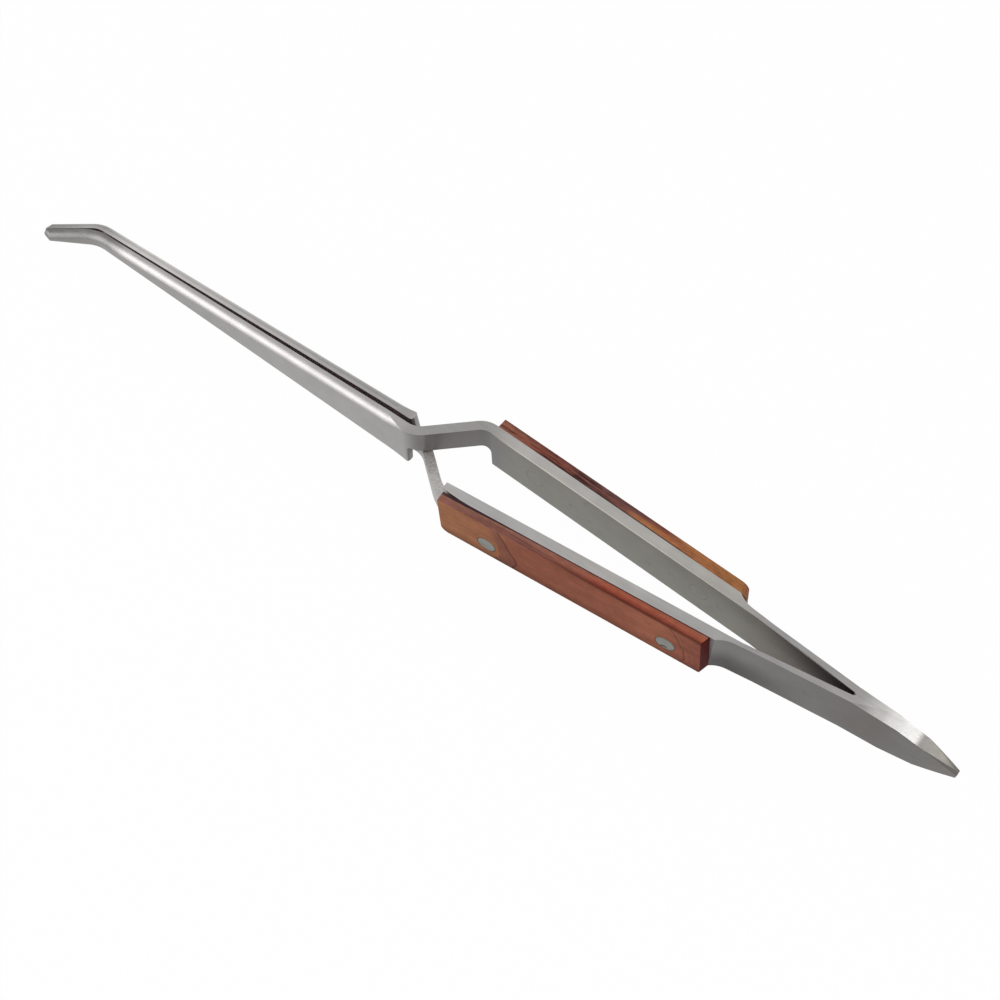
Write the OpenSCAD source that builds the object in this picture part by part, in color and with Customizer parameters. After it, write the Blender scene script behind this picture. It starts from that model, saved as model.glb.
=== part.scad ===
// Self-closing soldering tweezers with wooden grips.
// Two spring steel arms are welded together at the tail. Each carries a riveted wooden grip, crosses
// the other in a half lap and ends in a tapering jaw with a bent tip. The tweezers lie on the edges
// of the strips. X runs from the tips to the tail, Y from the near arm to the far arm, and Z up.
// Both arms are drawn once, with the handle on +Y and the bridge in the upper half. The lower arm is
// that drawing turned half round about the long axis. Where a value differs between the arms it is
// a pair, for the upper and the lower arm, and modules take the side: 1 for the upper arm, -1 for
// the lower one.

/* [Strip] */
// Length over tips and tail
overall_l = 164; // [160:0.5:170]
// Height of the strips and the grips
strip_h = 9; // [8.6:0.1:9.6]
// Thickness of the strips
strip_t = 1.55; // [1.5:0.05:1.7]

/* [Tail and spring] */
// Length over which the arms are welded face to face
weld_l = 15.5; // [14:0.5:17]
// Gap between the arms at the end of the weld
weld_gap = 0.4; // [0.2:0.05:0.6]
// Thickness of one arm where the weld ends
weld_t = 1.22; // [1.1:0.02:1.3]
// Thickness of one arm at the point of the tail
tail_t = 0.35; // [0.25:0.05:0.6]
// Length of the pointed part of the tail
point_l = 7; // [6:0.5:9]
// Height of the tail at its point
point_h = 1.2; // [0.8:0.1:1.6]
// Radius of the tail's edges towards the point
point_r = 40; // [20:5:60]
// Tilt of the two ground facets across both arms' top, in degrees
facet_tilt = [24, 48];
// Fall of the facets towards the tail, per millimetre
facet_fall = [0.16, 0.4];
// Where the facets reach the top's other edge, from the tail
facet_at = [9.8, 6.9];
// Depth of the facet on the outer edge at the point of the tail
facet_end_h = 0.5; // [0.3:0.05:0.6]
// Thickness that the springs are ground down to
spring_t = 0.65; // [0.55:0.05:0.9]
// Where a ground spring starts to rise to the full strip, from the tail
shoulder_at = [32.2, 31.5];
// Radius of that rise
shoulder_r = 4.5; // [3.5:0.5:5.5]

/* [Handles] */
// Gap from the middle plane to a handle's inner face at the shoulder
gap_rear = 2.2; // [2.1:0.02:2.4]
// Gap from the middle plane to a handle's inner face at the front
gap_front = 5.18; // [4.9:0.02:5.4]
// Where a handle turns into the bridge, from the tail
handle_end = [78.7, 78.55];
// Radius of that turn at the middle of the strip
handle_turn_r = [3.2, 9];
// Where the stub of a handle, beside the bridge, starts to curve in from its grip
stub_at = 72.5; // [72:0.5:74]
// Radius of that curve
stub_r = 28; // [20:2:40]

/* [Half lap] */
// Slope of the bridges to the long axis in degrees
bridge_angle = [41.5, 39.5];
// Radius of the turn from bridge to jaw at the middle of the strip
jaw_turn_r = 4.2; // [3.4:0.1:4.6]
// Where the cut starts in a handle, from the tail
lap_start = 77.6; // [77.3:0.1:77.9]
// Where the cut ends in a jaw, from the tail
lap_end = [88.2, 88.15];
// Distance by which that end leans back at the bottom of the cut
lap_lean = 0.4; // [0.1:0.1:0.6]
// Radius in the corner at that end
lap_end_corner_r = 0.4; // [0.2:0.1:0.6]
// Radius on the corners of a jaw's cut end, seen from above
lap_end_r = 0.6; // [0.3:0.05:0.7]
// Gap between the bridges, one above the other
lap_gap = 0.2; // [0.1:0.05:0.4]
// Radius in the corner of the cut at the handle
lap_r = 1.4; // [0.8:0.1:1.6]

/* [Jaws] */
// Gap from the joint line to a jaw at the back
slit_back = 0.33; // [0.28:0.01:0.4]
// Gap from the joint line to a jaw where the tip bends
slit_front = 0.12; // [0.08:0.01:0.16]
// Sideways lean of the joint line in degrees
jaw_lean = 1.3; // [1:0.1:1.6]
// Where the jaws start to taper, from the tail
taper_at = 92; // [91:0.5:94]
// Height of the jaws where the tip bends
neck_h = 2.8; // [2.6:0.05:3.2]
// Flat that is left beside a jaw's inner edge
roll_flat = 0.3; // [0.2:0.05:0.4]
// Depth of the rounding on a jaw's outer edges
roll_h = 0.8; // [0.5:0.05:0.9]
// Radius in which that rounding runs out at the back
roll_run_r = 12; // [8:1:24]

/* [Tips] */
// Length that the bent tips add to the jaws
tip_run = 8.4; // [8:0.1:10]
// Angle of the bend in degrees
tip_angle = 31.4; // [28:0.2:34]
// Radius of the bend at the middle of the strip
tip_turn_r = [7, 4.5];
// Height of the tips at the end
tip_h = 1.8; // [1.6:0.1:2.4]
// Gap from the joint line to a tip at its end
slit_tip = 0.02; // [0.01:0.01:0.04]
// Radius of the round end, seen from above
nose_r = 1.5; // [1.3:0.05:1.5]

/* [Grips] */
// Thickness of the grips
grip_t = 1.55; // [1.4:0.05:1.7]
// Front end of the grips, from the tail
grip_front = 77.3; // [77:0.1:77.5]
// Rear end of the far and the near grip, from the tail
grip_rear = [33.9, 34.8];
// Distance by which the lower edge of a rear end stands behind the upper edge
grip_lean = 0.8; // [0.2:0.1:1]
// Slant of a rear end seen from above, forward to its outer edge, in degrees
grip_slant = 20; // [0:5:30]
// Radius of the one round corner of a grip
grip_r = 1.3; // [0.8:0.1:1.6]
// Radius of a grip's other corners
grip_small_r = 0.3; // [0.2:0.1:0.6]

/* [Rivets] */
// Diameter of the rivets
rivet_d = 2.95; // [2.6:0.05:3.2]
// Clearance of the rivets in their holes
rivet_fit = 0.04; // [0.02:0.01:0.08]
// Rear and front rivet, from the tail
rivet_at = [40.3, 69.3];
// Height of the far and the near rivets above the middle of the grip
rivet_z = [0, -1.3];

/* [Hidden] */
$fn = 96;
steel = [0.63, 0.63, 0.61];
wood = [0.48, 0.27, 0.19];
rivet_metal = [0.5, 0.5, 0.46];
half_h = strip_h / 2;
half_t = strip_t / 2;
// Room that a cutting shape has beyond what it cuts
room = 1;
// Amount by which a round cut is moved so that its ends cross the straight faces cleanly
ease = 0.001;
// Length by which a cut runs on past the end of its stretch
run_on = 0.15;

function pick(pair, side) = side > 0 ? pair[0] : pair[1];
function at(s) = overall_l / 2 - s;
function dir(a) = [cos(a), sin(a)];
function cross2(u, v) = u.x * v.y - u.y * v.x;
function meet(p, a, q, b) = p + dir(a) * cross2(q - p, dir(b)) / cross2(dir(a), dir(b));

// Plan of an arm: corners of the strip's middle line, and the headings between them. The line runs
// from the tail to the tip.
handle_rear = shoulder_at[1];
handle_slope = atan((gap_front - gap_rear) / (handle_end[0] - handle_rear));
handle_head = 180 - handle_slope;
function bridge_head(side) = 180 + pick(bridge_angle, side);
function handle_gap(s) = gap_rear + (s - handle_rear) * tan(handle_slope);
function handle_corner(side) =
    let (s = pick(handle_end, side))
    [at(s), handle_gap(s) + half_t / cos(handle_slope)];

tip_at = overall_l - tip_run;
jaw_l = tip_at - taper_at;
slit_wedge = atan((slit_back - slit_front) / jaw_l);
jaw_rear = [at(taper_at), -slit_back - half_t];
function jaw_head(side) = 180 - side * jaw_lean - slit_wedge;
function jaw_corner(side) =
    meet(handle_corner(side), bridge_head(side), jaw_rear, jaw_head(side));

// The tips' length is set so that their round end lies at the end of the overall length
nose_in = strip_t + slit_tip - nose_r;
tip_l = nose_r + (tip_run - nose_r - nose_in * sin(tip_angle)) / cos(tip_angle);
tip_wedge = atan((slit_front - slit_tip) / tip_l);
function tip_line(side) = 180 + side * tip_angle;
function tip_head(side) = tip_line(side) - tip_wedge;
function tip_bend(side) = [at(tip_at), side * jaw_l * tan(jaw_lean)];
function tip_abreast(side) = tip_bend(side) + dir(tip_line(side) + 90) * (slit_front + half_t);
function tip_corner(side) = meet(jaw_rear, jaw_head(side), tip_abreast(side), tip_head(side));
function tip_end(side) = tip_abreast(side) + dir(tip_head(side)) * tip_l;

// A turn of the strip, as [corner, heading before, heading after, radius]. Its outward side is that
// of the larger radius.
function handle_turn(side) =
    [handle_corner(side), handle_head, bridge_head(side), pick(handle_turn_r, side)];
function jaw_turn(side) = [jaw_corner(side), bridge_head(side), jaw_head(side), jaw_turn_r];
function tip_turn(side) = [tip_corner(side), jaw_head(side), tip_head(side), pick(tip_turn_r, side)];
function hand(turn) = turn[2] > turn[1] ? 1 : -1;
function turn_l(turn) = turn[3] * tan(abs(turn[2] - turn[1]) / 2);
function turn_start(turn) = turn[0] - dir(turn[1]) * turn_l(turn);
function turn_end(turn) = turn[0] + dir(turn[2]) * turn_l(turn);
function turn_centre(turn) = turn_start(turn) + dir(turn[1] + hand(turn) * 90) * turn[3];

// Point at a distance w to the left of a turn's corner, on the mitre
function mitre(turn, w) =
    turn[0] + dir((turn[1] + turn[2]) / 2 + 90) * w / cos((turn[2] - turn[1]) / 2);

// Kite from a turn's centre to its corner, at a distance w outward of the middle line
function kite(turn, w) = [
    turn_centre(turn),
    turn_start(turn) + dir(turn[1] - hand(turn) * 90) * w,
    mitre(turn, -hand(turn) * w),
    turn_end(turn) + dir(turn[2] - hand(turn) * 90) * w
];

module fillet(turn) {
    linear_extrude(strip_h)
        difference() {
            polygon(kite(turn, 0));
            translate(turn_centre(turn))
                circle(turn[3] - half_t + ease);
        }
}

// What a turn loses outside its arc, on a strip that reaches w outward of the middle line
module turn_loss(turn, w) {
    difference() {
        polygon(kite(turn, w + room));
        translate(turn_centre(turn))
            circle(turn[3] + w + ease);
    }
}

module corner_cut(turn) {
    translate([0, 0, -room])
        linear_extrude(strip_h + 2 * room)
        turn_loss(turn, half_t);
}

// An arm at the full strip's height and thickness, with the inner faces of the weld and the spring
module blank(side) {
    bend_at = handle_rear - 1.5;
    rise = (handle_gap(bend_at) - 0.05 - weld_gap / 2) / (bend_at - weld_l);
    turns = [handle_turn(side), jaw_turn(side), tip_turn(side)];
    aside = dir(tip_head(side) + 90) * half_t;
    translate([0, 0, -half_h])
        difference() {
            union() {
                linear_extrude(strip_h)
                    polygon([
                        [at(0), 0],
                        [at(weld_l), 0],
                        [at(weld_l + 0.3), weld_gap / 2 + 0.3 * rise],
                        [at(bend_at - 2), weld_gap / 2 + (bend_at - 2 - weld_l) * rise],
                        [at(bend_at + 1), handle_gap(bend_at + 1) - 0.01],
                        [at(handle_rear + 2), handle_gap(handle_rear + 2)],
                        mitre(turns[0], half_t),
                        mitre(turns[1], half_t),
                        mitre(turns[2], half_t),
                        tip_end(side) + aside,
                        tip_end(side) - aside,
                        mitre(turns[2], -half_t),
                        mitre(turns[1], -half_t),
                        mitre(turns[0], -half_t),
                        [at(bend_at - 3), handle_gap(bend_at - 3) + strip_t / cos(handle_slope)],
                        [at(0), strip_t]
                    ]);
                for (turn = turns)
                    fillet(turn);
            }
            for (turn = turns)
                corner_cut(turn);
        }
}

// What is ground off the outer faces of tail and spring
module spring_loss(side) {
    s = pick(shoulder_at, side);
    foot = [at(s), handle_gap(s) + spring_t];
    translate([0, 0, -half_h - room]) {
        linear_extrude(strip_h + 2 * room)
            polygon([
                [at(-room), tail_t],
                [at(0), tail_t],
                [at(weld_l), weld_t],
                [at(s - 3.5), foot.y - 0.42],
                foot,
                foot + [0, 2 * strip_t],
                [at(-room), strip_h]
            ]);
        translate(foot + dir(handle_head - 90) * shoulder_r)
            cylinder(r = shoulder_r, h = strip_h + 2 * room);
    }
}

// Side view of the tail: each edge curves in to the point, from point_from to point_to as [x, z]
point_from = [at(point_l), half_h];
point_to = [at(0), point_h / 2];
point_chord = point_to - point_from;
point_angle = atan2(point_chord.y, point_chord.x);
point_half = asin(norm(point_chord) / 2 / point_r);
point_centre = point_from - dir(point_angle + 90 + point_half) * point_r;
module point_loss() {
    translate([0, strip_h, 0])
        rotate([90, 0, 0])
        linear_extrude(2 * strip_h)
        difference() {
            translate([at(point_l), 0])
                square([point_l + room, half_h + room]);
            translate(point_centre)
                circle(point_r);
        }
}

// Takes off what lies above a plane through a point of the upper edge, at a distance from the tail.
// The plane falls by fall.x per millimetre towards the tail and by fall.y per millimetre outward.
slant_l = 20;
function tail_w(s) = tail_t + (weld_t - tail_t) * s / weld_l;
module slant(s, y, fall) {
    turn = atan(fall.x);
    translate([at(s), y, half_h])
        rotate([0, turn, 0])
        rotate([-atan(fall.y * cos(turn)), 0, 0])
        translate([s - slant_l, -strip_h, 0])
        cube([slant_l + 2 * room, 2 * strip_h, strip_h]);
}

// Facets that slant across both arms, and fall outward (1) or inward (-1) on this one
module shared_facets(way) {
    for (i = [0, 1])
        slant(facet_at[i], -way * tail_w(facet_at[i]), [facet_fall[i], way * tan(facet_tilt[i])]);
}

// Facet that follows the point, beside a narrow flat at the arms' joint
point_flat = 0.15;
module point_facet() {
    slant(
        point_l, point_flat,
        [(half_h - point_h / 2) / point_l, facet_end_h / (tail_t - point_flat)]
    );
}

// What the half lap takes from the lower half of an arm
lap_h = half_h + lap_gap / 2;
lap_angle = atan(lap_lean / lap_h);
module lap_loss(end) {
    corner = [lap_lean, lap_h];
    other_corner = [end - lap_start, lap_h];
    translate([at(end), strip_h, -half_h])
        rotate([90, 0, 0])
        linear_extrude(2 * strip_h)
        difference() {
            polygon([
                corner,
                corner - dir(90 - lap_angle) * (lap_h + room),
                [other_corner.x, -room],
                other_corner
            ]);
            turn_loss([corner, 180, 270 - lap_angle, lap_end_corner_r], 0);
            turn_loss([other_corner, 90, 180, lap_r], 0);
        }
}

// What the stub of a handle loses below the cut's corner: the curve on its outer face. The lower
// arm's turn is wide, and its stub also loses the inside of that turn, down to the inner face and a
// trace more towards the end.
module stub_loss(side) {
    past = lap_start + room;
    inside_from = pick(handle_end, side) - turn_l(handle_turn(side)) - run_on;
    translate([0, 0, -half_h - room])
        linear_extrude(room + half_h - lap_r - 0.3) {
            difference() {
                translate(handle_point(past, strip_t - room))
                    rotate(-handle_slope)
                    square([past - stub_at, 3 * room]);
                translate(handle_point(stub_at, strip_t - stub_r))
                    circle(stub_r + ease, $fn = 360);
            }
            if (side < 0)
                polygon([
                    handle_point(inside_from, -room),
                    handle_point(inside_from, 0),
                    handle_point(past, 0.02),
                    handle_point(past, -room)
                ]);
        }
}

// What the cut end of a jaw loses at its two upright edges
module jaw_end_loss(side) {
    mid = meet([at(pick(lap_end, side)), 0], 90, jaw_rear, jaw_head(side));
    for (k = [0, 1])
        translate([mid.x, mid.y, -half_h])
        mirror([1, 0])
        mirror([0, k])
        rotate([0, -lap_angle, 0])
        translate([0, -half_t, -room])
        linear_extrude(room + lap_h - lap_end_corner_r)
        corner_loss(lap_end_r);
}

// What a corner of radius r loses, for a shape that fills the quarter beyond the origin
module corner_loss(r) {
    difference() {
        translate([-room, -room])
            square(r + room);
        translate([r, r])
            circle(r);
    }
}

// Places the children at a point of the plan, with +X along a heading and +Y on its left, which is
// a jaw's outer side
module along(point, head) {
    translate([point.x, point.y, 0])
        rotate(head)
        children();
}

// What the rounding takes off a jaw's outer edge. The section's top is on the X axis, and the
// middle of the strip on the Y axis.
roll_r = (pow(strip_t - roll_flat, 2) + pow(roll_h, 2)) / (2 * roll_h);
module roll_loss() {
    translate([roll_flat - half_t, 0])
        difference() {
            translate([0, -roll_h])
                square([strip_t - roll_flat + room, roll_h + room]);
            translate([0, ease - roll_r])
                circle(roll_r);
        }
}

module straight_roll(length) {
    rotate([90, 0, 90])
        linear_extrude(length)
        roll_loss();
}

// Wheel that lets the rounding run out behind its start
module roll_run_out() {
    translate([0, 0, roll_run_r - ease])
        rotate([90, 0, 0])
        rotate_extrude()
        translate([roll_run_r, 0])
        mirror([0, 1])
        rotate(90)
        roll_loss();
}

// The rounding of a turn. Where the jaw turns to its outer side, the rounding starts early. Where
// it turns the other way, the straight stretches run on past their ends.
module turned_roll(turn) {
    left = hand(turn) > 0;
    early = left ? run_on / turn[3] * 180 / PI : 0;
    centre = turn_centre(turn);
    translate([centre.x, centre.y, 0])
        rotate((left ? turn[1] - 90 : turn[2] + 90) - early)
        rotate_extrude(angle = abs(turn[2] - turn[1]) + 2 * early)
        translate([turn[3] + ease, 0])
        mirror([left ? 1 : 0, 0])
        roll_loss();
}

module both_edges() {
    for (k = [0, 1])
        mirror([0, 0, k])
        children();
}

// Tapers the jaw and the tip towards the end, and rounds their outer edges
module taper(side) {
    turn = tip_turn(side);
    on = hand(turn) > 0 ? 0 : run_on;
    length = norm(turn_start(turn) - jaw_rear);
    tip_length = norm(tip_end(side) - turn_end(turn));
    jaw_slope = (strip_h - neck_h) / 2 / length;
    jaw_fall = atan(jaw_slope);
    tip_fall = atan((neck_h - tip_h) / 2 / tip_length);
    difference() {
        difference() {
            difference() {
                children();
                both_edges() {
                    along(jaw_rear, jaw_head(side))
                        translate([0, strip_h, 0])
                        rotate([90, 0, 0])
                        linear_extrude(2 * strip_h)
                        polygon([
                            [-room, half_h + room * jaw_slope],
                            [length, neck_h / 2],
                            [length + tip_l + strip_h, neck_h / 2],
                            [length + tip_l + strip_h, strip_h],
                            [-room, strip_h]
                        ]);
                    along(turn_end(turn), tip_head(side))
                        translate([0, 0, neck_h / 2])
                        rotate([0, tip_fall, 0])
                        translate([-room, -strip_t, 0])
                        cube([tip_length + 2 * room, 2 * strip_t, strip_h]);
                }
            }
            both_edges() {
                along(jaw_rear, jaw_head(side))
                    translate([0, 0, half_h])
                    rotate([0, jaw_fall, 0])
                    straight_roll(length / cos(jaw_fall) + on);
                along(turn_end(turn), tip_head(side))
                    translate([0, 0, neck_h / 2])
                    rotate([0, tip_fall, 0])
                    translate([-on, 0, 0])
                    straight_roll(tip_length + room);
            }
        }
        both_edges() {
            along(jaw_rear, jaw_head(side))
                translate([0, 0, half_h])
                rotate([0, jaw_fall, 0])
                roll_run_out();
            translate([0, 0, neck_h / 2])
                turned_roll(turn);
        }
    }
}

// The end of a tip is round from above and from the side. A second rounding from the side, at 45
// degrees and a little deeper, takes its corners off.
nose_facet = 0.12;
module nose_loss(side) {
    side_r = tip_h / 2;
    along(tip_end(side), tip_head(side)) {
        for (k = [0, 1])
            translate([-nose_r, half_t - nose_r, 0])
            rotate(k * 45)
            translate([nose_r - side_r - k * nose_facet, strip_h, 0])
            rotate([90, 0, 0])
            linear_extrude(2 * strip_h)
            difference() {
                translate([0, -strip_h])
                    square([side_r + room, 2 * strip_h]);
                circle(side_r + ease);
            }
        translate([0, half_t, -strip_h])
            rotate(180)
            linear_extrude(2 * strip_h)
            corner_loss(nose_r);
    }
}

// Point of the plan on a handle at a distance from the tail, w outward of its inner face
function handle_point(s, w) = [at(s), handle_gap(s)] + dir(90 - handle_slope) * w;

// Places the children on a handle's inner face at a distance from the tail, with +X to the tail
// along the face and +Y outward
module on_handle(s) {
    translate([at(s), handle_gap(s), 0])
        rotate(-handle_slope)
        children();
}

// Bar across handle and grip at the rear (k = 0) or the front (k = 1) rivet
module rivet_bar(k, z, d, from, to) {
    on_handle(rivet_at[k])
        translate([0, to, z])
        rotate([90, 0, 0])
        cylinder(d = d, h = to - from);
}

module rivet_holes(z) {
    for (k = [0, 1])
        rivet_bar(k, z, rivet_d + rivet_fit, -room, strip_t + grip_t + room);
}

module rivet(k, z) {
    rivet_bar(k, z, rivet_d, 0, strip_t + grip_t);
}

// Grinds the tail to its point, and tail and spring to their thickness
module grind(side) {
    difference() {
        difference() {
            children();
            spring_loss(side);
            both_edges()
                point_loss();
        }
        shared_facets(-1);
        mirror([0, 0, 1]) {
            shared_facets(1);
            point_facet();
        }
    }
}

module arm(side, z) {
    difference() {
        taper(side)
            grind(side)
            blank(side);
        stub_loss(side);
        lap_loss(pick(lap_end, side));
        jaw_end_loss(side);
        nose_loss(side);
        rivet_holes(z);
    }
}

// Side view of a grip, from its front end on the handle: its corners in turn, as turns of a line.
// The rear end leans by the side's grip_lean.
function grip_turns(side, length, round_corner) =
    let (
        lean = side * grip_lean / 2,
        points = [
            [0, -half_h], [length + lean, -half_h], [length - lean, half_h], [0, half_h]
        ],
        rear_head = 90 + atan(2 * lean / strip_h),
        heads = [-90, 0, rear_head, 180, 270]
    )
    [for (i = [0:3]) [points[i], heads[i], heads[i + 1], i == round_corner ? grip_r : grip_small_r]];

// One grip. Its round corner is the upper one at the rear (2) or at the front (3). Its rear end is
// drawn longer first, and then cut along the slant with its corners.
module grip(side, z, round_corner) {
    length = (grip_front - pick(grip_rear, side)) / cos(handle_slope);
    turns = grip_turns(side, length, round_corner);
    difference() {
        on_handle(grip_front)
            translate([0, strip_t + grip_t, 0])
            rotate([90, 0, 0])
            linear_extrude(grip_t)
            difference() {
                translate([0, -half_h])
                    square([length + 2 * room, strip_h]);
                for (i = [0, 3])
                    turn_loss(turns[i], 0);
            }
        on_handle(grip_front)
            translate([length, strip_t + grip_t / 2, 0])
            rotate(grip_slant)
            translate([-length, grip_t, 0])
            rotate([90, 0, 0]) {
                linear_extrude(2 * grip_t)
                    polygon([
                        turns[1][0] - dir(turns[1][2]) * room,
                        [length + 4 * room, -half_h - room],
                        [length + 4 * room, half_h + room],
                        turns[2][0] + dir(turns[1][2]) * room
                    ]);
                for (i = [1, 2])
                    linear_extrude(2 * grip_t)
                    turn_loss(turns[i], 0);
            }
        rivet_holes(z);
    }
}

// Sets what is drawn for the upper arm at its height, or turns it half round for the lower arm
module set_side(side) {
    translate([0, 0, half_h])
        rotate([side > 0 ? 0 : 180, 0, 0])
        children();
}

module upper_arm() {
    color(steel)
        set_side(1)
        arm(1, rivet_z[0]);
}

module lower_arm() {
    color(steel)
        set_side(-1)
        arm(-1, -rivet_z[1]);
}

module far_grip() {
    color(wood)
        set_side(1)
        grip(1, rivet_z[0], 2);
}

module near_grip() {
    color(wood)
        set_side(-1)
        grip(-1, -rivet_z[1], 3);
}

module far_rivet(k) {
    color(rivet_metal)
        set_side(1)
        rivet(k, rivet_z[0]);
}

module near_rivet(k) {
    color(rivet_metal)
        set_side(-1)
        rivet(k, -rivet_z[1]);
}

upper_arm();
lower_arm();
far_grip();
near_grip();
far_rivet(0);  // far_rear_rivet
far_rivet(1);  // far_front_rivet
near_rivet(0);  // near_rear_rivet
near_rivet(1);  // near_front_rivet
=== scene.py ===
import math

import bpy
from mathutils import Euler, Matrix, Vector

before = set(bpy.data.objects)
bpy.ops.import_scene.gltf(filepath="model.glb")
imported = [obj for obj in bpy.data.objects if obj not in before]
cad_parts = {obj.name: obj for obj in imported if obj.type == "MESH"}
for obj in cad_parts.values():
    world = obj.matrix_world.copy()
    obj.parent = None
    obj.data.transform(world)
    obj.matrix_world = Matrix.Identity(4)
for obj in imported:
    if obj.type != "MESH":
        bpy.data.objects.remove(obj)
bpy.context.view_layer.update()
mm = 0.001
print("frame loaded, nodes:", ", ".join(sorted(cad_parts)))


# Node helpers

noiseSpan = (0.3, 0.7)      # where most values of a noise lie


def addNode(tree, kind, values=None, **settings):
    # a new node, with its settings, and its inputs set or linked
    node = tree.nodes.new(kind)
    for name, value in settings.items():
        setattr(node, name, value)
    for key, value in (values or {}).items():
        socket = node.inputs[key]
        if isinstance(value, bpy.types.NodeSocket):
            tree.links.new(value, socket)
        else:
            socket.default_value = value
    return node


def calc(tree, operation, a, b=0.0, c=0.0, clamp=False):
    # one step of arithmetic on numbers
    return addNode(
        tree, "ShaderNodeMath", {0: a, 1: b, 2: c}, operation=operation, use_clamp=clamp
    ).outputs[0]


def fade(tree, value, start, end, low=0.0, high=1.0):
    # low before start, high after end, and a soft step between them
    return addNode(
        tree, "ShaderNodeMapRange",
        {"Value": value, "From Min": start, "From Max": end, "To Min": low, "To Max": high},
        interpolation_type="SMOOTHSTEP",
    ).outputs["Result"]


def fadeOut(tree, value, start, end, high=1.0):
    return fade(tree, value, start, end, high, 0.0)


def around(tree, value, middle, swing):
    # a number that follows a noise a little below and above its middle
    return fade(tree, value, *noiseSpan, middle - swing, middle + swing)


def product(tree, first, *others):
    for value in others:
        first = calc(tree, "MULTIPLY", first, value)
    return first


def radius(tree, a, b):
    squares = calc(tree, "ADD", product(tree, a, a), product(tree, b, b))
    return calc(tree, "SQRT", squares)


def within(tree, value, low, high, soft):
    # 1 between low and high, with soft edges
    rise = fade(tree, value, low - soft, low + soft)
    return product(tree, rise, fadeOut(tree, value, high - soft, high + soft))


def blendColor(tree, factor, a, b, mode="MIX"):
    return addNode(
        tree, "ShaderNodeMix", {0: factor, 6: a, 7: b}, data_type="RGBA", blend_type=mode
    ).outputs[2]


def tinted(tree, color, shade):
    # a colour made lighter or darker by a number
    grey = addNode(tree, "ShaderNodeCombineColor", {0: shade, 1: shade, 2: shade}).outputs[0]
    return blendColor(tree, 1.0, color, grey, "MULTIPLY")


def stretched(tree, vector, scale):
    # coordinates scaled by a different amount along each axis
    return addNode(
        tree, "ShaderNodeMapping", {"Vector": vector, "Scale": scale}, vector_type="POINT"
    ).outputs["Vector"]


def noise(tree, vector, scale=1.0, detail=3.0, roughness=0.5, distortion=0.0, output="Fac"):
    return addNode(
        tree, "ShaderNodeTexNoise",
        {
            "Vector": vector, "Scale": scale, "Detail": detail,
            "Roughness": roughness, "Distortion": distortion,
        },
    ).outputs[output]


def split(tree, vector):
    node = addNode(tree, "ShaderNodeSeparateXYZ", {0: vector})
    return node.outputs[0], node.outputs[1], node.outputs[2]


def localPlace(tree, place, turn):
    # Object coordinates in millimetres, from a place and turned about the vertical
    coord = addNode(tree, "ShaderNodeTexCoord").outputs["Object"]
    return addNode(
        tree, "ShaderNodeMapping",
        {
            "Vector": coord, "Location": [v * mm for v in place],
            "Rotation": (0, 0, math.radians(turn)), "Scale": (mm, mm, mm),
        },
        vector_type="TEXTURE",
    ).outputs["Vector"]


def rampAlong(tree, value, stops):
    # colours at places along a piece
    first, last = stops[0][0], stops[-1][0]
    factor = addNode(
        tree, "ShaderNodeMapRange", {"Value": value, "From Min": first, "From Max": last}
    ).outputs["Result"]
    node = addNode(tree, "ShaderNodeValToRGB", {"Fac": factor})
    band = node.color_ramp
    band.interpolation = "EASE"
    while len(band.elements) < len(stops):
        band.elements.new(0.5)
    for element, (place, color) in zip(band.elements, stops):
        element.position = (place - first) / (last - first)
        element.color = (*color, 1)
    return node.outputs["Color"]


def startGroup(name, inputs, outputs):
    group = bpy.data.node_groups.new(name, "ShaderNodeTree")
    for label, kind in inputs:
        group.interface.new_socket(label, in_out="INPUT", socket_type=kind)
    for label, kind in outputs:
        group.interface.new_socket(label, in_out="OUTPUT", socket_type=kind)
    start = group.nodes.new("NodeGroupInput")
    end = group.nodes.new("NodeGroupOutput")
    return group, start.outputs, end.inputs


def useGroup(tree, group, values):
    return addNode(tree, "ShaderNodeGroup", values, node_tree=group).outputs


def startMaterial(name, color):
    # the colour is for the viewport
    material = bpy.data.materials.new(name)
    material.use_nodes = True
    material.diffuse_color = (*color[:3], 1)
    tree = material.node_tree
    shader = tree.nodes["Principled BSDF"]
    return material, tree, shader


def bumpFrom(tree, height, strength, depth):
    # depth in millimetres
    return addNode(
        tree, "ShaderNodeBump", {"Strength": strength, "Distance": depth * mm, "Height": height}
    ).outputs["Normal"]


def linkShader(tree, shader, color, roughness, normal):
    for value, key in ((color, "Base Color"), (roughness, "Roughness"), (normal, "Normal")):
        tree.links.new(value, shader.inputs[key])


numberSocket, vectorSocket = "NodeSocketFloat", "NodeSocketVector"

# How far a face turns towards an axis before it counts, as the part of its normal along that axis
facingLimits = {
    "flat": (0.35, 0.62), "toFar": (-0.2, 0.2), "slot": (0.75, 0.9), "facet": (0.93, 0.985),
    "rolled": (0.05, 0.3), "rolledBand": (0.3, 0.96, 0.05), "seam": (0.12, 0.3, 0.06),
    "edgeHighlightFacing": (0.8, 0.95), "cutEndShade": (0.5, 0.8), "woodTop": (0.45, 0.8), "woodEnd": (0.5, 0.75),
}


# Steel

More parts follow.
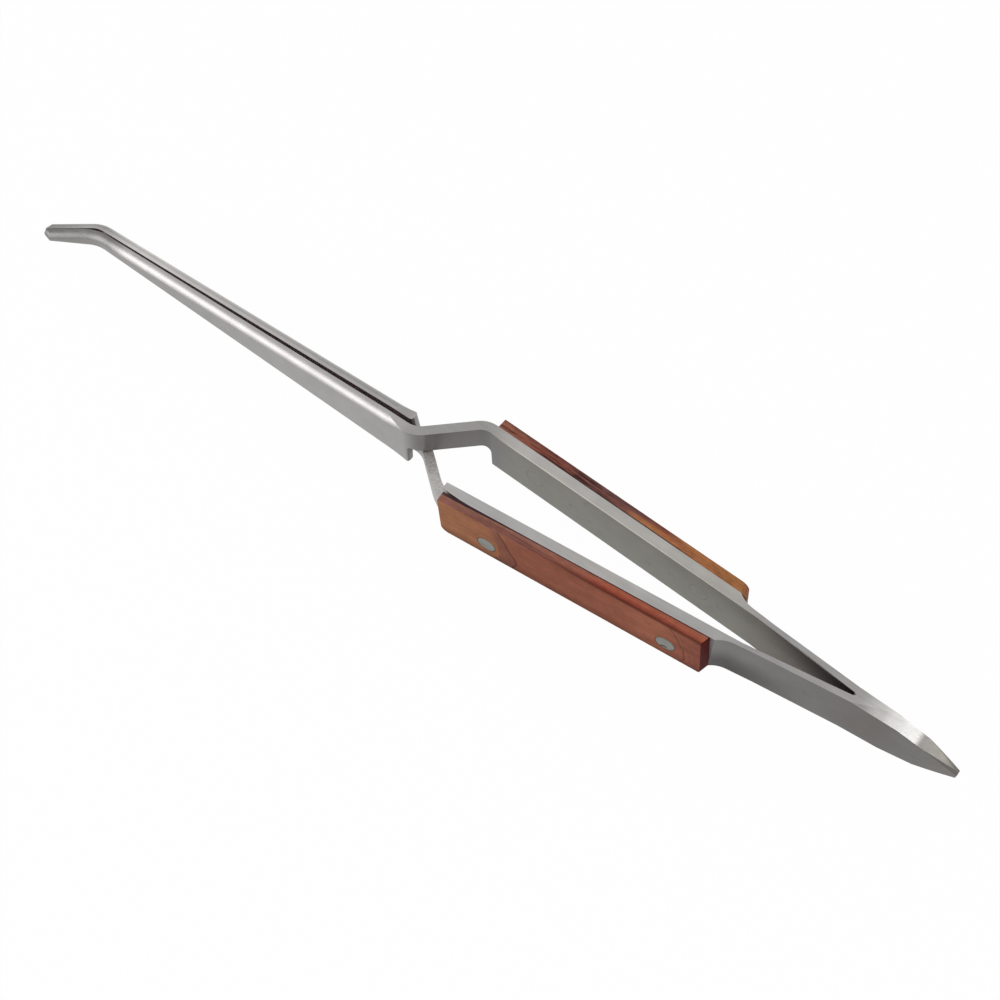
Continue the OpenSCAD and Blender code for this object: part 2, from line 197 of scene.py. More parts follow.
steelLook = {
    "roughness": 0.36, "roughnessSwing": 0.05,
    "grainLength": 0.10,                # per millimetre along the strip
    "grainWidth": 7.0,                  # per millimetre across it
    "marks": 0.0022,                    # depth of the grinding marks in millimetres
    "markTone": (0.94, 1.05), "cloudTone": (0.95, 1.04),
    "stain": (0.10, 0.085, 0.075, 1), "stainAmount": (0.58, 0.74, 0.0, 0.5), "speckAmount": 0.3,
    "edge": (0.72, 0.68, 0.59, 1),      # painted highlight along the top edge of the upper handle
    "slot": (0.46, 0.36, 0.37, 1),      # between the jaws: a warm tint painted into the shade there
    "foot": (0.040, 0.031, 0.032, 1),   # painted shade at the foot of the near spring
    "rolledRoughness": 0.07,            # added on the rolled edges of the jaws
    "seamShade": 0.16,                  # taken off where such an edge runs into the jaw's side
    # the sheared top of the lower bridge
    "lumps": (3.0, 4.2, 3.0), "lumpDepth": 0.035, "lumpTone": (0.84, 1.14), "lumpRoughness": 0.08,
}
# Where each mark starts and stops, in millimetres along X, or up Z where its name ends in Height.
# A third number is how soft both its ends are
steelZones = {
    "slotEnd": (-8.5, -7.0), "jawTop": (-10.0, -7.0), "jawRoll": (-8.0, -5.0), "seam": (-10.0, -8.0),
    "cutEndShade": (-11.0, -4.5, 0.5), "cutEndShadeHeight": (4.3, 4.6),
    "sheared": (-6.0, 5.0, 0.4), "shearedHeight": (3.7, 4.9, 0.15),
    "edgeHighlight": (7.0, 64.0, 3.0), "edgeHighlightHeight": (8.62, 8.76),
    "stains": (12.0, 20.0), "facets": (63.0, 66.0),
    "footShadeStart": (43.5, 47.0), "footShadeStop": (50.0, 64.0), "footShadeHeight": (1.5, 7.0),
}
# Colours by X in millimetres, with light and shade painted into them. First the facets ground on the
# tail, the same on both arms, with a painted highlight brightest from 72.4 to 75.3 mm and painted shade
# before and after it
tailFacetPaintedLight = [(64, (0.30, 0.29, 0.28)), (67.5, (0.30, 0.29, 0.28)), (70.1, (0.52, 0.505, 0.49)),
              (72.4, (0.75, 0.735, 0.72)), (74, (0.90, 0.885, 0.865)), (75.3, (0.92, 0.90, 0.875)),
              (76.3, (0.34, 0.325, 0.31)), (79, (0.39, 0.37, 0.33)), (82, (0.25, 0.235, 0.21))]
# Then each arm: on its top, and on its faces towards -Y and +Y. These are lit and shaded copies of one
# steel: painted highlights on the tops, the jaws and the tail, painted shade on the sides, under the
# bridges, at the foot of the spring and towards the tips. The numbers say how strong the painted
# highlight on the top edge, the painted shade at the foot and the painted shade on the cut end are,
# which way in Y the slot lies from its jaw, and how bright the jaw's flat top and its rolled edge are
# painted. The last one is for the sheared bridge
armColorsAndPaintedLight = {
    "upper_arm": {
        "edge": 0.9, "foot": 0.0, "cutEndShade": 0.58, "jawInside": 1, "jawPaintedLight": (1.0, 1.0),
        "sheared": False,
        "top": [(-82, (0.27, 0.262, 0.255)), (-70.5, (0.30, 0.292, 0.285)),
                (-65, (0.62, 0.60, 0.585)), (-8, (0.60, 0.58, 0.565)),
                (-5, (0.48, 0.465, 0.45)), (4, (0.48, 0.465, 0.45)),
                (9, (0.65, 0.625, 0.60)), (30, (0.62, 0.60, 0.57)), (46, (0.56, 0.54, 0.505)),
                (54, (0.46, 0.455, 0.455)), (67, (0.45, 0.435, 0.42)), (70, (0.72, 0.70, 0.68)),
                (72.4, (0.95, 0.93, 0.91)), (82, (0.95, 0.93, 0.91))],
        "towardNear": [(-82, (0.27, 0.265, 0.26)), (-60, (0.285, 0.28, 0.275)),
                       (-30, (0.325, 0.32, 0.315)), (-7, (0.325, 0.318, 0.31)),
                       (-3.6, (0.175, 0.163, 0.161)), (5, (0.165, 0.158, 0.152)),
                       (9, (0.190, 0.184, 0.160)), (46, (0.175, 0.168, 0.142)),
                       (60, (0.088, 0.069, 0.057)), (82, (0.12, 0.11, 0.10))],
        "towardFar": [(-82, (0.34, 0.33, 0.325)), (-7, (0.34, 0.33, 0.325)),
                      (-4, (0.20, 0.19, 0.18)), (8, (0.30, 0.29, 0.28)), (82, (0.26, 0.25, 0.24))],
    },
    "lower_arm": {
        "edge": 0.0, "foot": 1.0, "cutEndShade": 0.0, "jawInside": -1, "jawPaintedLight": (1.18, 0.94),
        "sheared": True,
        "top": [(-82, (0.36, 0.35, 0.34)), (-73, (0.50, 0.485, 0.475)), (-66, (0.74, 0.72, 0.70)),
                (-40, (0.60, 0.58, 0.565)),
                (-9, (0.46, 0.445, 0.435)), (-4, (0.64, 0.62, 0.60)), (5, (0.66, 0.64, 0.62)),
                (10, (0.60, 0.585, 0.575)), (32, (0.60, 0.58, 0.56)), (46, (0.54, 0.525, 0.51)),
                (54, (0.45, 0.44, 0.44)), (67, (0.48, 0.465, 0.45)), (70, (0.74, 0.72, 0.70)),
                (72.4, (0.95, 0.93, 0.91)), (82, (0.95, 0.93, 0.91))],
        "towardNear": [(-82, (0.34, 0.33, 0.325)), (-7, (0.34, 0.33, 0.325)),
                       (-4, (0.20, 0.19, 0.18)), (3, (0.35, 0.34, 0.33)), (7, (0.20, 0.18, 0.18)),
                       (11, (0.08, 0.06, 0.07)), (44, (0.16, 0.15, 0.145)),
                       (50, (0.150, 0.143, 0.140)), (60, (0.138, 0.134, 0.130)),
                       (70, (0.115, 0.104, 0.096)), (76, (0.140, 0.134, 0.124)),
                       (82, (0.15, 0.142, 0.13))],
        "towardFar": [(-82, (0.33, 0.32, 0.315)), (-8, (0.355, 0.345, 0.338)),
                      (-4, (0.25, 0.24, 0.23)), (9, (0.215, 0.210, 0.190)),
                      (46, (0.195, 0.188, 0.168)), (60, (0.14, 0.125, 0.11)),
                      (82, (0.15, 0.14, 0.125))],
    },
}


def buildBrushGroup():
    # Fine grinding marks along X, slow clouds and small dark specks, in millimetres
    group, given, out = startGroup(
        "brushMarks",
        [("Vector", vectorSocket), ("Length", numberSocket), ("Width", numberSocket)],
        [("Marks", numberSocket), ("Clouds", numberSocket), ("Specks", numberSocket)],
    )
    scale = addNode(
        group, "ShaderNodeCombineXYZ", {0: given["Length"], 1: given["Width"], 2: given["Width"]}
    )
    along = addNode(
        group, "ShaderNodeVectorMath", {0: given["Vector"], 1: scale.outputs[0]}, operation="MULTIPLY"
    ).outputs[0]
    fine = noise(group, along, 1.0, 4, 0.6)
    broad = noise(group, along, 0.28, 3, 0.5)
    marks = calc(group, "ADD", product(group, fine, 0.6), product(group, broad, 0.4))
    clouds = noise(group, given["Vector"], 0.32, 4, 0.55)
    dots = noise(group, given["Vector"], 3.1, 2, 0.5)
    specks = fade(group, dots, 0.70, 0.78)
    for value, name in ((marks, "Marks"), (clouds, "Clouds"), (specks, "Specks")):
        group.links.new(value, out[name])
    return group


def buildSteel(name, colors, brushGroup):
    material, tree, shader = startMaterial(name, colors["top"][3][1])
    place = localPlace(tree, (0, 0, 0), 0)
    x, _, z = split(tree, place)
    marks = useGroup(
        tree, brushGroup,
        {"Vector": place, "Length": steelLook["grainLength"], "Width": steelLook["grainWidth"]},
    )
    facing = addNode(tree, "ShaderNodeTexCoord").outputs["Normal"]
    facingX, facingY, facingZ = split(tree, facing)
    level = calc(tree, "ABSOLUTE", facingZ)
    flat = fade(tree, level, *facingLimits["flat"])             # tops and undersides
    toFar = fade(tree, facingY, *facingLimits["toFar"])
    # the sides are painted shade, darker or lighter by which way they face and where they lie along X
    side = blendColor(
        tree, toFar, rampAlong(tree, x, colors["towardNear"]), rampAlong(tree, x, colors["towardFar"])
    )
    # painted shade at the foot of the near spring, and a warm tint painted into the shade of the slot
    # between the jaws
    foot = product(
        tree, fade(tree, x, *steelZones["footShadeStart"]), fadeOut(tree, x, *steelZones["footShadeStop"]),
        fadeOut(tree, z, *steelZones["footShadeHeight"], colors["foot"]),
    )
    side = blendColor(tree, foot, side, steelLook["foot"])
    slot = fade(tree, product(tree, facingY, colors["jawInside"]), *facingLimits["slot"])
    slot = product(tree, slot, fadeOut(tree, x, *steelZones["slotEnd"]))
    side = blendColor(tree, slot, side, steelLook["slot"])
    # tops: the facets on the tail with their painted highlight, and the flat and rolled parts of the
    # jaws
    facet = product(
        tree, fadeOut(tree, level, *facingLimits["facet"]), fade(tree, x, *steelZones["facets"])
    )
    top = blendColor(tree, facet, rampAlong(tree, x, colors["top"]), rampAlong(tree, x, tailFacetPaintedLight))
    # painted light on the jaw tops: the lower arm's flat top lighter and its rolled edge darker
    sideways = calc(tree, "ABSOLUTE", facingY)
    jawPaintedLight = fade(tree, sideways, *facingLimits["rolled"], *colors["jawPaintedLight"])
    jawTop = fadeOut(tree, x, *steelZones["jawTop"])
    top = blendColor(tree, jawTop, top, tinted(tree, top, jawPaintedLight))
    color = blendColor(tree, flat, side, top)
    # a painted highlight: a pale line along the top edge of the upper handle
    edgeHighlight = product(
        tree, fade(tree, z, *steelZones["edgeHighlightHeight"]), within(tree, x, *steelZones["edgeHighlight"]),
        fadeOut(tree, facingZ, *facingLimits["edgeHighlightFacing"]), colors["edge"],
    )
    color = blendColor(tree, edgeHighlight, color, steelLook["edge"])
    # stains on the sides of the handles and springs, and small specks all over
    inner = product(tree, fade(tree, x, *steelZones["stains"]), calc(tree, "SUBTRACT", 1.0, flat))
    stain = noise(tree, place, 0.55, 5, 0.62, 0.4)
    stain = product(tree, fade(tree, stain, *steelLook["stainAmount"]), inner)
    color = blendColor(tree, stain, color, steelLook["stain"])
    specks = product(tree, marks["Specks"], steelLook["speckAmount"])
    color = blendColor(tree, specks, color, steelLook["stain"])
    shade = product(
        tree, fade(tree, marks["Marks"], *noiseSpan, *steelLook["markTone"]),
        fade(tree, marks["Clouds"], *noiseSpan, *steelLook["cloudTone"]),
    )
    roughness = around(tree, marks["Marks"], steelLook["roughness"], steelLook["roughnessSwing"])
    rolled = product(
        tree, within(tree, level, *facingLimits["rolledBand"]),
        fadeOut(tree, x, *steelZones["jawRoll"]),
    )
    roughness = calc(tree, "MULTIPLY_ADD", rolled, steelLook["rolledRoughness"], roughness)
    height = product(tree, marks["Marks"], steelLook["marks"])
    if colors["sheared"]:
        sheared = product(
            tree, within(tree, x, *steelZones["sheared"]),
            within(tree, z, *steelZones["shearedHeight"]), flat,
        )
        lumps = noise(tree, stretched(tree, place, steelLook["lumps"]), 1.0, 4, 0.65)
        height = calc(tree, "ADD", height, product(tree, lumps, sheared, steelLook["lumpDepth"]))
        mottle = fade(tree, lumps, 0.35, 0.65, *steelLook["lumpTone"])
        mottle = calc(tree, "MULTIPLY_ADD", calc(tree, "SUBTRACT", mottle, 1.0), sheared, 1.0)
        shade = product(tree, shade, mottle)
        roughness = calc(tree, "MULTIPLY_ADD", sheared, steelLook["lumpRoughness"], roughness)
    # a thin shade where the rolled edge of a jaw runs into its side
    seam = product(
        tree, within(tree, level, *facingLimits["seam"]), fadeOut(tree, x, *steelZones["seam"])
    )
    shade = product(tree, shade, calc(tree, "MULTIPLY_ADD", seam, -steelLook["seamShade"], 1.0))
    # and painted shade on the cut end under the bridge
    cutEndShade = product(
        tree, fade(tree, facingX, *facingLimits["cutEndShade"]), within(tree, x, *steelZones["cutEndShade"]),
        fadeOut(tree, z, *steelZones["cutEndShadeHeight"], colors["cutEndShade"]),
    )
    shade = product(tree, shade, calc(tree, "SUBTRACT", 1.0, cutEndShade))
    shader.inputs["Metallic"].default_value = 1.0
    linkShader(tree, shader, tinted(tree, color, shade), roughness, bumpFrom(tree, height, 1.0, 1.0))
    return material


# Wood

woodLook = {
    "thickness": 1.55,                     # millimetres
    "roughness": 0.5, "roughnessSwing": 0.06,
    "specular": 0.02,
    "line": (0.055, 0.018, 0.012, 1),      # dark grain lines
    "streak": (0.045, 0.016, 0.018, 1),    # near-black streaks on the top edge
    "joint": (0.022, 0.015, 0.022, 1),     # dark joint along the steel, with painted shade of the gap there
    "jointWidth": 0.16, "jointHeight": (8.3, 8.8), "jointEnds": 3.0,
    "rimWidth": (1.0, 1.42), "rimHeight": (8.5, 8.85), "rimEnds": 3.0,
    "topInToOut": (0.55, 1.15),            # from the steel, where one row of colours becomes the other
    "streakAmount": (0.50, 0.62), "streakEnds": 4.0,
    "rivetGapShade": (1.5, 1.68, 0.7),          # from, to and strength of the painted shade in the gap round a rivet
    "bandTone": (0.90, 1.10), "fibreTone": (0.87, 1.12), "cloudTone": (0.92, 1.08), "poreTone": 0.75,
    "gritTone": (0.5, 1.9),                # on the sawn end
    "footShadeTone": 0.70, "footShadeHeight": 2.4,   # painted shade, darker towards the floor
    "wander": (1.1, 0.5, 0.9),             # how far the grain strays, in millimetres
    "bump": 0.35, "bumpDepth": 0.03, "lineDepth": 1.5, "poreDepth": 0.8,
}
# Each pattern: how fast it changes along, across and up a board, its detail and its roughness
woodPatterns = {
    "wander": ((0.12, 0.5, 0.5), 3, 0.5), "bands": ((0.05, 0.9, 0.9), 4, 0.6),
    "fibres": ((0.7, 7.0, 7.0), 4, 0.65), "pores": ((1.1, 12.0, 12.0), 2, 0.5),
    "streaks": ((0.10, 2.6, 2.6), 3, 0.6),
}
# The growth lines round both ends: their arch, and for each line its place past the arch's nose,
# its width, how soft it is behind and how dark
archLook = {"front": {"Slope": 0.46, "Round": 0.5}, "rear": {"Slope": 0.64, "Round": 3.6}}
growthLines = [
    ("front", 0.0, 0.24, 0.6, 1.0), ("front", -1.1, 0.3, 0.5, 0.18), ("rear", 0.0, 0.18, 0.3, 0.85),
    ("rear", 0.9, 0.3, 0.4, 0.24), ("rear", 1.7, 0.3, 0.5, 0.18), ("rear", -1.0, 0.2, 0.5, 0.10),
]
# The darker wood behind the front rivet, from an oval round it to the front growth line
ovalLook = {
    "color": (0.150, 0.055, 0.044, 1),
    "middle": (0.1, -0.2), "half": (2.35, 2.9), "wander": 0.12,
    "edge": (0.97, 1.06), "start": (0.3, 1.8), "stop": (-0.25, -0.05),
    "line": (0.98, 1.04, 0.05), "lineAmount": (-3.0, 1.0, 0.15, 0.5),
}
# Each grip has its own board: colours along it, from the front rivet in millimetres, and the places of
# its arches. The top edge has one row of colours beside the steel and one at its rim. Rim, streaks and
# joint are dark marks on it: from, to and strength; the joint is a dark line along the steel with
# painted shade of the gap there. Wedge is where that joint and gap shade changes its width, and the
# width it has at the front
gripBoards = {
    "near_grip": {
        "place": (12.895, -7.68, 3.2), "turn": 3.6126, "outward": -1, "rivets": (0.0, 29.06),
        "face": [(-8, (0.275, 0.118, 0.058)), (1, (0.270, 0.108, 0.055)), (5, (0.218, 0.072, 0.042)),
                 (20, (0.225, 0.074, 0.044)), (27, (0.262, 0.092, 0.054)), (35, (0.195, 0.062, 0.042))],
        "topIn": [(-8, (0.26, 0.120, 0.088)), (6, (0.25, 0.108, 0.080)), (13, (0.27, 0.105, 0.072)),
                  (20, (0.31, 0.088, 0.052)), (29, (0.31, 0.092, 0.056)), (35, (0.32, 0.105, 0.062))],
        "topOut": [(-8, (0.25, 0.105, 0.082)), (6, (0.22, 0.090, 0.070)), (13, (0.24, 0.082, 0.056)),
                   (20, (0.25, 0.050, 0.030)), (29, (0.26, 0.062, 0.038)), (35, (0.31, 0.085, 0.048))],
        "end": (0.066, 0.005, 0.003, 1),
        "rim": (12.0, 36.0, 0.70),
        "streaks": (-9.0, 14.0, 0.35),
        "joint": (-9.0, 36.0, 0.9),
        "wedge": (-7.0, 7.0, 0.46),
        "frontNose": 5.1, "frontAxis": -1.0, "rearNose": 32.1, "rearAxis": -1.2,
        "zone": 0.55, "topGrain": 0.35,
    },
    "far_grip": {
        "place": (12.895, 7.68, 4.5), "turn": -3.6126, "outward": 1, "rivets": (0.0, 29.06),
        "face": [(-8, (0.25, 0.10, 0.055)), (10, (0.24, 0.09, 0.05)), (22, (0.28, 0.11, 0.05)),
                 (35, (0.33, 0.15, 0.06))],
        "topIn": [(-8, (0.25, 0.095, 0.064)), (2, (0.20, 0.064, 0.043)), (9, (0.165, 0.070, 0.056)),
                  (14, (0.175, 0.070, 0.056)), (17, (0.33, 0.135, 0.060)), (23, (0.34, 0.130, 0.055)),
                  (35, (0.31, 0.130, 0.052))],
        "topOut": [(-8, (0.26, 0.105, 0.070)), (2, (0.18, 0.062, 0.048)), (9, (0.175, 0.082, 0.073)),
                   (15, (0.150, 0.068, 0.062)), (21, (0.22, 0.075, 0.050)), (26, (0.33, 0.135, 0.055)),
                   (35, (0.31, 0.130, 0.050))],
        "end": (0.24, 0.095, 0.055, 1),
        "rim": (-9.0, 22.0, 0.45),
        "streaks": (-9.0, 12.0, 0.9),
        "joint": (2.0, 26.0, 0.95),
        "wedge": (-8.0, 4.0, 0.12),
        "frontNose": 12.0, "frontAxis": -2.5, "rearNose": 27.0, "rearAxis": 1.0,
        "zone": 0.3, "topGrain": 1.3,
    },
}


def buildArchGroup():
    # Growth lines that come to a rounded nose: Field is the distance past each line's own nose
    group, given, out = startGroup(
        "growthArch",
        [("Vector", vectorSocket), ("Nose", numberSocket), ("Axis", numberSocket),
         ("Slope", numberSocket), ("Round", numberSocket)],
        [("Field", numberSocket)],
    )
    u, _, v = split(group, given["Vector"])
    reach = radius(group, calc(group, "SUBTRACT", v, given["Axis"]), given["Round"])
    back = product(group, calc(group, "SUBTRACT", reach, given["Round"]), given["Slope"])
    field = calc(group, "ADD", calc(group, "SUBTRACT", u, given["Nose"]), back)
    group.links.new(field, out["Field"])
    return group


def buildLineGroup():
    # A dark line where a field is near a place: sharp on its far side and soft on its near side
    group, given, out = startGroup(
        "growthLine",
        [("Field", numberSocket), ("At", numberSocket),
         ("Width", numberSocket), ("Fade", numberSocket)],
        [("Mask", numberSocket)],
    )
    beyond = calc(group, "SUBTRACT", given["Field"], given["At"])
    past = calc(group, "DIVIDE", beyond, given["Width"])
    before = calc(group, "DIVIDE", product(group, beyond, -1.0), given["Fade"])
    mask = calc(group, "SUBTRACT", 1.0, calc(group, "MAXIMUM", past, before), clamp=True)
    group.links.new(product(group, mask, mask), out["Mask"])
    return group


def woodPattern(tree, vector, name, output="Fac"):
    scale, detail, roughness = woodPatterns[name]
    return noise(tree, stretched(tree, vector, scale), 1.0, detail, roughness, output=output)


def markAlong(tree, u, span, soft):
    # how strong a mark is along the board
    start, stop, amount = span
    return product(tree, within(tree, u, start, stop, soft), amount)


def buildWood(name, board, archGroup, lineGroup):
    material, tree, shader = startMaterial(name, board["face"][0][1])
    place = localPlace(tree, board["place"], board["turn"])
    facing = addNode(tree, "ShaderNodeTexCoord").outputs["Normal"]
    facingX, _, facingZ = split(tree, facing)
    wander = addNode(
        tree, "ShaderNodeVectorMath",
        {0: woodPattern(tree, place, "wander", "Color"), 1: (0.5, 0.5, 0.5)}, operation="SUBTRACT",
    ).outputs[0]
    bent = addNode(
        tree, "ShaderNodeVectorMath", {0: wander, 1: woodLook["wander"], 2: place},
        operation="MULTIPLY_ADD",
    ).outputs[0]
    u, w, v = split(tree, place)                            # along the board, across it and up
    overFloor = calc(tree, "ADD", v, board["place"][2])
    fromSteel = calc(tree, "MULTIPLY_ADD", w, board["outward"], woodLook["thickness"])
    onTop = fade(tree, facingZ, *facingLimits["woodTop"])
    onEnd = fade(tree, facingX, *facingLimits["woodEnd"])
    # growth lines round the front and the rear of the board
    arches = {}
    for end, look in archLook.items():
        arches[end] = useGroup(
            tree, archGroup,
            {"Vector": bent, "Nose": board[end + "Nose"], "Axis": board[end + "Axis"], **look},
        )["Field"]
    lines = 0.0
    for end, at, width, soft, dark in growthLines:
        line = useGroup(
            tree, lineGroup, {"Field": arches[end], "At": at, "Width": width, "Fade": soft}
        )["Mask"]
        lines = calc(tree, "MAXIMUM", lines, product(tree, line, dark))
    lines = product(tree, lines, calc(tree, "SUBTRACT", 1.0, onTop))
    # bands and fibres that run along the board
    bands = woodPattern(tree, bent, "bands")
    fibres = woodPattern(tree, bent, "fibres")
    pores = woodPattern(tree, place, "pores")
    face = rampAlong(tree, u, board["face"])
    # behind the front rivet the wood is darker, up to the front growth line
    ovalU, ovalV = (
        calc(tree, "DIVIDE", calc(tree, "SUBTRACT", value, middle), half)
        for value, middle, half in zip((u, v), ovalLook["middle"], ovalLook["half"])
    )
    oval = calc(
        tree, "ADD", radius(tree, ovalU, ovalV),
        around(tree, noise(tree, place, 0.8, 3, 0.6), 0.0, ovalLook["wander"]),
    )
    zone = product(
        tree, fadeOut(tree, arches["front"], *ovalLook["stop"]), fade(tree, oval, *ovalLook["edge"]),
        fade(tree, u, *ovalLook["start"]), board["zone"],
    )
    face = blendColor(tree, zone, face, ovalLook["color"])
    contour = product(
        tree, within(tree, oval, *ovalLook["line"]), fade(tree, u, *ovalLook["lineAmount"])
    )
    face = blendColor(tree, contour, face, woodLook["line"])
    # painted shade: the face is darker towards the floor
    low = fade(tree, overFloor, 0.0, woodLook["footShadeHeight"], woodLook["footShadeTone"], 1.0)
    face = tinted(tree, face, low)
    # the top edge, with near-black streaks
    toRim = fade(tree, fromSteel, *woodLook["topInToOut"])
    top = blendColor(
        tree, toRim, rampAlong(tree, u, board["topIn"]), rampAlong(tree, u, board["topOut"])
    )
    streaks = product(
        tree, fade(tree, woodPattern(tree, bent, "streaks"), *woodLook["streakAmount"]),
        markAlong(tree, u, board["streaks"], woodLook["streakEnds"]),
    )
    top = blendColor(tree, streaks, top, woodLook["streak"])
    color = blendColor(tree, onTop, face, top)
    tone = product(
        tree, fade(tree, bands, *noiseSpan, *woodLook["bandTone"]),
        fade(tree, fibres, 0.25, 0.75, *woodLook["fibreTone"]),
    )
    grain = product(tree, calc(tree, "SUBTRACT", fibres, 0.5), onTop)
    tone = calc(tree, "MULTIPLY_ADD", grain, board["topGrain"], tone)
    clouds = fade(tree, noise(tree, place, 0.45, 4, 0.6), *noiseSpan, *woodLook["cloudTone"])
    tone = product(tree, tone, clouds, fade(tree, pores, 0.66, 0.76, 1.0, woodLook["poreTone"]))
    color = tinted(tree, color, tone)
    color = blendColor(tree, lines, color, woodLook["line"])
    # the dark line along the rim of the top edge
    rim = product(
        tree, fade(tree, fromSteel, *woodLook["rimWidth"]),
        fade(tree, overFloor, *woodLook["rimHeight"]),
        markAlong(tree, u, board["rim"], woodLook["rimEnds"]),
        fade(tree, bands, 0.35, 0.55, 0.6, 1.0),
    )
    color = blendColor(tree, rim, color, woodLook["line"])
    # a dark joint where the top edge meets the steel, with painted shade of the gap there
    reach = fade(tree, u, *board["wedge"], woodLook["jointWidth"])
    joint = product(
        tree, calc(tree, "LESS_THAN", fromSteel, reach),
        fade(tree, overFloor, *woodLook["jointHeight"]),
        markAlong(tree, u, board["joint"], woodLook["jointEnds"]),
    )
    color = blendColor(tree, joint, color, woodLook["joint"])
    # painted shade in the gap round the rivets
    for at in board["rivets"]:
        reach = radius(tree, calc(tree, "SUBTRACT", u, at), v)
        ring = fadeOut(tree, reach, *woodLook["rivetGapShade"])
        color = blendColor(tree, ring, color, woodLook["line"])
    grit = fade(tree, noise(tree, place, 5.0, 2, 0.5), 0.35, 0.7, *woodLook["gritTone"])
    color = blendColor(tree, onEnd, color, tinted(tree, board["end"], grit))
    # lines and pores lie lower than the fibres
    height = calc(tree, "MULTIPLY_ADD", lines, -woodLook["lineDepth"], fibres)
    sunk = fade(tree, pores, 0.62, 0.74)
    height = calc(tree, "MULTIPLY_ADD", sunk, -woodLook["poreDepth"], height)
    bump = bumpFrom(tree, height, woodLook["bump"], woodLook["bumpDepth"])
    roughness = around(tree, fibres, woodLook["roughness"], -woodLook["roughnessSwing"])
    shader.inputs["Specular IOR Level"].default_value = woodLook["specular"]
    linkShader(tree, shader, color, roughness, bump)
    return material


# Rivets

rivetLook = {
    "head": (0.215, 0.218, 0.195, 1),
    # the rim colour also darkens the clouds, and round the edge of the head it is painted shade
    "rim": (0.075, 0.073, 0.066, 1), "rimShadeAmount": (1.25, 1.45, 0.0, 0.45),
    "foot": (0.205, 0.200, 0.180, 1),            # the end that lies in the strip
    "footSpan": (-1.5, -0.5),                    # across the strip, where it begins
    "cloudAmount": (0.4, 0.75, 0.0, 0.3),
    "roughness": 0.42, "roughnessSwing": 0.06,
    "grainLength": 1.2, "grainWidth": 5.0,       # per millimetre
    "bump": 0.2, "bumpDepth": 0.02,
    "dents": {"near_rear": (-0.14, -0.92)},      # a dark dent in one head, from its middle
    "dent": (0.012, 0.011, 0.012, 1), "dentBend": 0.7,
    "dentWidth": (0.12, 0.36), "dentLength": (0.35, 0.65),
}


def buildRivetMetal(name, board, brushGroup, at, dentAt):
    material, tree, shader = startMaterial(name, rivetLook["head"])
    place = localPlace(tree, board["place"], board["turn"])
    u, w, v = split(tree, place)
    u = calc(tree, "SUBTRACT", u, at)
    marks = useGroup(
        tree, brushGroup,
        {"Vector": place, "Length": rivetLook["grainLength"], "Width": rivetLook["grainWidth"]},
    )
    clouds = fade(tree, marks["Clouds"], *rivetLook["cloudAmount"])
    color = blendColor(tree, clouds, rivetLook["head"], rivetLook["rim"])
    # painted shade round the edge of the head
    rim = fade(tree, radius(tree, u, v), *rivetLook["rimShadeAmount"])
    color = blendColor(tree, rim, color, rivetLook["rim"])
    if dentAt:
        bend = calc(tree, "ADD", v, product(tree, u, u, rivetLook["dentBend"]))
        along = calc(tree, "ABSOLUTE", calc(tree, "SUBTRACT", u, dentAt[0]))
        across = calc(tree, "ABSOLUTE", calc(tree, "SUBTRACT", bend, dentAt[1]))
        dent = product(
            tree, fadeOut(tree, across, *rivetLook["dentWidth"]),
            fadeOut(tree, along, *rivetLook["dentLength"]),
        )
        color = blendColor(tree, dent, color, rivetLook["dent"])
    foot = fadeOut(tree, product(tree, w, board["outward"]), *rivetLook["footSpan"])
    color = blendColor(tree, foot, color, rivetLook["foot"])
    roughness = around(tree, marks["Marks"], rivetLook["roughness"], rivetLook["roughnessSwing"])
    bump = bumpFrom(tree, marks["Marks"], rivetLook["bump"], rivetLook["bumpDepth"])
    shader.inputs["Metallic"].default_value = 1.0
    linkShader(tree, shader, color, roughness, bump)
    return material


# Edges

edgeLook = {
    "weld": 0.004,                                      # millimetres
    "arm": {"split": 20},                               # degrees
    "grip": {"width": 0.13, "segments": 3, "angle": 30},
    "rivet": {"width": 0.03, "segments": 2, "angle": 30},
}


def softenEdges(piece, look):
    # joins the loose triangles, then rounds or splits every sharp edge
    weld = piece.modifiers.new("weld", "WELD")
    weld.merge_threshold = edgeLook["weld"] * mm
    if "split" in look:
        # the flat faces shade flat and the turns between them shade round
        sharp = piece.modifiers.new("split", "EDGE_SPLIT")
        sharp.split_angle = math.radians(look["split"])
        return
    bevel = piece.modifiers.new("edges", "BEVEL")
    bevel.width = look["width"] * mm
    bevel.segments = look["segments"]
    bevel.limit_method = "ANGLE"
    bevel.angle_limit = math.radians(look["angle"])
    bevel.miter_outer = "MITER_ARC"
    bevel.harden_normals = True


def dress(node, material, look):
    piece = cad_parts[node]
    piece.data.materials.clear()
    piece.data.materials.append(material)
    softenEdges(piece, look)


brushGroup = buildBrushGroup()
archGroup = buildArchGroup()
lineGroup = buildLineGroup()
for node, colors in armColorsAndPaintedLight.items():
    steel = buildSteel(node.replace("_arm", "ArmSteel"), colors, brushGroup)
    dress(node, steel, edgeLook["arm"])
for side in ("far", "near"):
    board = gripBoards[side + "_grip"]
    dress(side + "_grip", buildWood(side + "GripWood", board, archGroup, lineGroup), edgeLook["grip"])
    for end, at in zip(("front", "rear"), board["rivets"]):
        dentAt = rivetLook["dents"].get(side + "_" + end)
        metal = buildRivetMetal(side + end.title() + "RivetMetal", board, brushGroup, at, dentAt)
        dress(f"{side}_{end}_rivet", metal, edgeLook["rivet"])
print("materials and edges done")


# Stage, lights and camera

